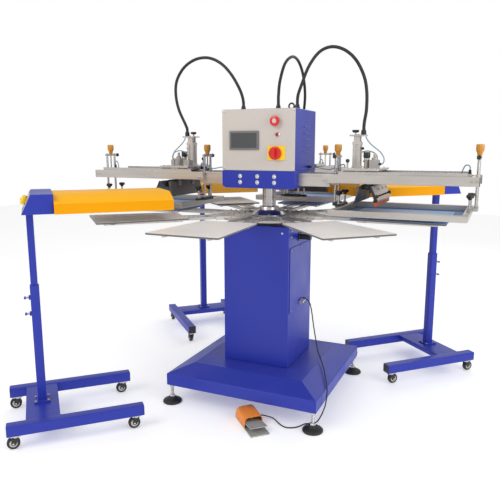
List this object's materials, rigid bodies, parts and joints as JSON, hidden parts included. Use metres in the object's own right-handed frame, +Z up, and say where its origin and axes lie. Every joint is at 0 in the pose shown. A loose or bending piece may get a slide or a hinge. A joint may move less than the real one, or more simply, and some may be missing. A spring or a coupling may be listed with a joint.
{
  "type": "screen printing carousel",
  "caption": "Rotary screen printing machine: a carousel of pallets on a column, print heads with screens and squeegees, a control box, a foot switch and flash dryers on wheeled stands.",
  "frame": {"origin": "on the floor, on the carousel's axis", "axes": "+Z up along the carousel's axis, -Y towards the operator's side where the control panel faces, +X towards the right-hand print head"},
  "size_m": [2.1531, 2.2238, 1.7443],
  "materials": {
    "blue_enamel": "gloss",
    "yellow_enamel": "gloss",
    "orange_enamel": "satin",
    "grey_panel": "satin",
    "grey_treadle": "satin",
    "aluminium": "brushed",
    "steel": "brushed",
    "pallet_plate": "matt coated",
    "screen_blue": "satin",
    "black_rubber": "matt",
    "black_plastic": "matt",
    "red_plastic": "gloss"
  },
  "bodies": {
    "machine": {"base_plinth": "blue_enamel", "levelling_foot_front_left": "black_plastic", "levelling_foot_front_right": "black_plastic", "levelling_foot_back_left": "black_plastic", "levelling_foot_back_right": "black_plastic", "column": "blue_enamel", "access_panel": "blue_enamel", "bearing_housing": "steel", "main_shaft": "steel", "index_cylinder": "black_plastic", "head_mount": "blue_enamel", "control_box": "blue_enamel", "box_front_panel": "grey_panel", "head_arm_right": "aluminium", "head_arm_left": "aluminium", "head_arm_back": "aluminium", "head_frame_right": "aluminium", "head_frame_left": "aluminium", "head_frame_back": "aluminium", "hose_right": "black_rubber", "hose_left": "black_rubber", "hose_back": "black_rubber", "foot_switch_cord": "black_rubber", "pedal_base": "orange_enamel"},
    "carousel": {"carousel_hub": "steel", "pallet_1": "pallet_plate", "pallet_2": "pallet_plate", "pallet_3": "pallet_plate", "pallet_4": "pallet_plate", "pallet_5": "pallet_plate", "pallet_6": "pallet_plate", "pallet_7": "pallet_plate", "pallet_8": "pallet_plate"},
    "carriage_right": {"carriage_right": "aluminium"},
    "squeegee_right": {"squeegee_right": "aluminium"},
    "screen_right": {"screen_right": "screen_blue", "inner_clamp_right": "aluminium", "outer_clamp_right": "aluminium"},
    "carriage_left": {"carriage_left": "aluminium"},
    "squeegee_left": {"squeegee_left": "aluminium"},
    "screen_left": {"screen_left": "screen_blue", "inner_clamp_left": "aluminium", "outer_clamp_left": "aluminium"},
    "carriage_back": {"carriage_back": "aluminium"},
    "squeegee_back": {"squeegee_back": "aluminium"},
    "screen_back": {"screen_back": "screen_blue", "inner_clamp_back": "aluminium", "outer_clamp_back": "aluminium"},
    "dryer_stand_front": {"dryer_stand_front": "blue_enamel"},
    "dryer_front": {"dryer_mast_front": "blue_enamel", "dryer_heater_front": "yellow_enamel"},
    "dryer_stand_right": {"dryer_stand_right": "blue_enamel"},
    "dryer_right": {"dryer_mast_right": "blue_enamel", "dryer_heater_right": "yellow_enamel"},
    "dryer_stand_rear": {"dryer_stand_rear": "blue_enamel"},
    "dryer_rear": {"dryer_mast_rear": "blue_enamel", "dryer_heater_rear": "yellow_enamel"},
    "emergency_stop": {"emergency_stop": "red_plastic"},
    "main_switch_knob": {"main_switch_knob": "red_plastic"},
    "pedal": {"pedal_plate": "grey_treadle"}
  },
  "joints": [
    {"name": "carousel_rotation", "type": "hinge", "parent": "machine", "child": "carousel", "pos_m": [0, 0, 0.93], "axis": [0, 0, 1], "continuous": true},
    {"name": "carriage_slide_right", "type": "slide", "parent": "machine", "child": "carriage_right", "axis": [1, 0, 0], "range_m": [0, 0.32]},
    {"name": "squeegee_lift_right", "type": "slide", "parent": "carriage_right", "child": "squeegee_right", "axis": [0, 0, 1], "range_m": [-0.04, 0]},
    {"name": "screen_height_right", "type": "slide", "parent": "machine", "child": "screen_right", "axis": [0, 0, 1], "range_m": [-0.016, 0.005]},
    {"name": "carriage_slide_left", "type": "slide", "parent": "machine", "child": "carriage_left", "axis": [-1, 0, 0], "range_m": [0, 0.32]},
    {"name": "squeegee_lift_left", "type": "slide", "parent": "carriage_left", "child": "squeegee_left", "axis": [0, 0, 1], "range_m": [-0.04, 0]},
    {"name": "screen_height_left", "type": "slide", "parent": "machine", "child": "screen_left", "axis": [0, 0, 1], "range_m": [-0.016, 0.005]},
    {"name": "carriage_slide_back", "type": "slide", "parent": "machine", "child": "carriage_back", "axis": [0, 1, 0], "range_m": [0, 0.32]},
    {"name": "squeegee_lift_back", "type": "slide", "parent": "carriage_back", "child": "squeegee_back", "axis": [0, 0, 1], "range_m": [-0.04, 0]},
    {"name": "screen_height_back", "type": "slide", "parent": "machine", "child": "screen_back", "axis": [0, 0, 1], "range_m": [-0.016, 0.005]},
    {"name": "dryer_roll_front", "type": "slide", "parent": "machine", "child": "dryer_stand_front", "axis": [-0.7071, -0.7071, 0], "range_m": [0, 0.6]},
    {"name": "dryer_height_front", "type": "slide", "parent": "dryer_stand_front", "child": "dryer_front", "axis": [0, 0, 1], "range_m": [-0.03, 0.18]},
    {"name": "dryer_roll_right", "type": "slide", "parent": "machine", "child": "dryer_stand_right", "axis": [0.7071, 0.7071, 0], "range_m": [0, 0.6]},
    {"name": "dryer_height_right", "type": "slide", "parent": "dryer_stand_right", "child": "dryer_right", "axis": [0, 0, 1], "range_m": [-0.015, 0.18]},
    {"name": "dryer_roll_rear", "type": "slide", "parent": "machine", "child": "dryer_stand_rear", "axis": [-0.7071, 0.7071, 0], "range_m": [0, 0.6]},
    {"name": "dryer_height_rear", "type": "slide", "parent": "dryer_stand_rear", "child": "dryer_rear", "axis": [0, 0, 1], "range_m": [-0.03, 0.18]},
    {"name": "emergency_stop_press", "type": "slide", "parent": "machine", "child": "emergency_stop", "axis": [0, 1, 0], "range_m": [0, 0.005]},
    {"name": "main_switch_turn", "type": "hinge", "parent": "machine", "child": "main_switch_knob", "pos_m": [0.092, -0.1531, 1.248], "axis": [0, 1, 0], "range_deg": [0, 90]},
    {"name": "pedal_press", "type": "hinge", "parent": "machine", "child": "pedal", "pos_m": [0.03425, -0.37425, 0.012], "axis": [0.7071, 0.7071, 0], "range_deg": [0, 5], "stiffness_Nm_per_rad": 12, "springref_deg": -3.44}
  ]
}
